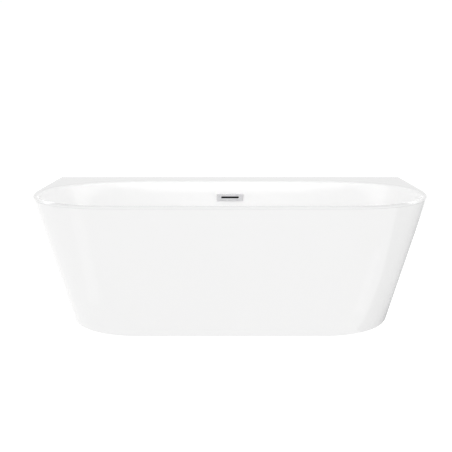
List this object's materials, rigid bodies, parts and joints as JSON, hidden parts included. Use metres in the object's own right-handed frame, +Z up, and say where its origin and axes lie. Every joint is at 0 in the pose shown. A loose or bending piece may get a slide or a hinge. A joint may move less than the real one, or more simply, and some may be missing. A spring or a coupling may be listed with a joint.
{
  "type": "freestanding bathtub",
  "caption": "White back-to-wall freestanding bathtub with tapered apron, oval basin, slotted overflow, lift-up drain plug, low trap and levelling feet.",
  "frame": {"origin": "on the floor, under the middle of the tub's length and depth", "axes": "+X along the tub to the right as seen from the room, +Y towards the wall behind the tub, +Z up"},
  "size_m": [1.7, 0.8, 0.58],
  "materials": {
    "acrylic": "high gloss sanitary acrylic, pure white",
    "chrome": "polished chrome plate",
    "zinc_steel": "bright zinc plate",
    "coated_steel": "galvanised steel, dull",
    "base_panel": "resin-sealed chipboard",
    "white_plastic": "moulded polypropylene, satin",
    "black_plastic": "moulded plastic, satin",
    "rubber_seal": "matt rubber"
  },
  "bodies": {
    "tub": {"outer_shell": "acrylic", "inner_shell": "acrylic", "overflow_cover": "chrome", "drain_flange": "chrome", "overflow_screw_left": "zinc_steel", "overflow_screw_right": "zinc_steel", "overflow_insert": "black_plastic", "overflow_body": "black_plastic", "overflow_seal": "rubber_seal", "drain_seal_top": "rubber_seal", "drain_seal_bottom": "rubber_seal", "overflow_pipe": "white_plastic", "overflow_nut_top": "white_plastic", "overflow_nut_bottom": "white_plastic", "plug_guide": "white_plastic", "waste_body": "white_plastic", "trap_pipe": "white_plastic", "trap_nut": "white_plastic", "base_board": "base_panel", "rail_front": "coated_steel", "rail_rear": "coated_steel", "crossbar_left": "coated_steel", "crossbar_right": "coated_steel", "centre_strap": "coated_steel", "foot_front_left_weld_nut": "zinc_steel", "foot_front_left_lock_nut": "zinc_steel", "foot_front_right_weld_nut": "zinc_steel", "foot_front_right_lock_nut": "zinc_steel", "foot_rear_left_weld_nut": "zinc_steel", "foot_rear_left_lock_nut": "zinc_steel", "foot_rear_right_weld_nut": "zinc_steel", "foot_rear_right_lock_nut": "zinc_steel", "foot_centre_weld_nut": "zinc_steel", "foot_centre_lock_nut": "zinc_steel"},
    "plug": {"plug_cap": "chrome", "plug_stem": "zinc_steel", "plug_seal": "rubber_seal"},
    "foot_front_left": {"foot_front_left_pad": "black_plastic", "foot_front_left_stud": "zinc_steel"},
    "foot_front_right": {"foot_front_right_pad": "black_plastic", "foot_front_right_stud": "zinc_steel"},
    "foot_rear_left": {"foot_rear_left_pad": "black_plastic", "foot_rear_left_stud": "zinc_steel"},
    "foot_rear_right": {"foot_rear_right_pad": "black_plastic", "foot_rear_right_stud": "zinc_steel"},
    "foot_centre": {"foot_centre_pad": "black_plastic", "foot_centre_stud": "zinc_steel"}
  },
  "joints": [
    {"name": "foot_front_left_level", "type": "slide", "parent": "tub", "child": "foot_front_left", "axis": [0, 0, -1], "range_m": [0, 0.015]},
    {"name": "foot_front_right_level", "type": "slide", "parent": "tub", "child": "foot_front_right", "axis": [0, 0, -1], "range_m": [0, 0.015]},
    {"name": "foot_rear_left_level", "type": "slide", "parent": "tub", "child": "foot_rear_left", "axis": [0, 0, -1], "range_m": [0, 0.015]},
    {"name": "foot_rear_right_level", "type": "slide", "parent": "tub", "child": "foot_rear_right", "axis": [0, 0, -1], "range_m": [0, 0.015]},
    {"name": "foot_centre_level", "type": "slide", "parent": "tub", "child": "foot_centre", "axis": [0, 0, -1], "range_m": [0, 0.015]},
    {"name": "plug_lift", "type": "slide", "parent": "tub", "child": "plug", "axis": [0, 0, 1], "range_m": [0, 0.009]}
  ]
}
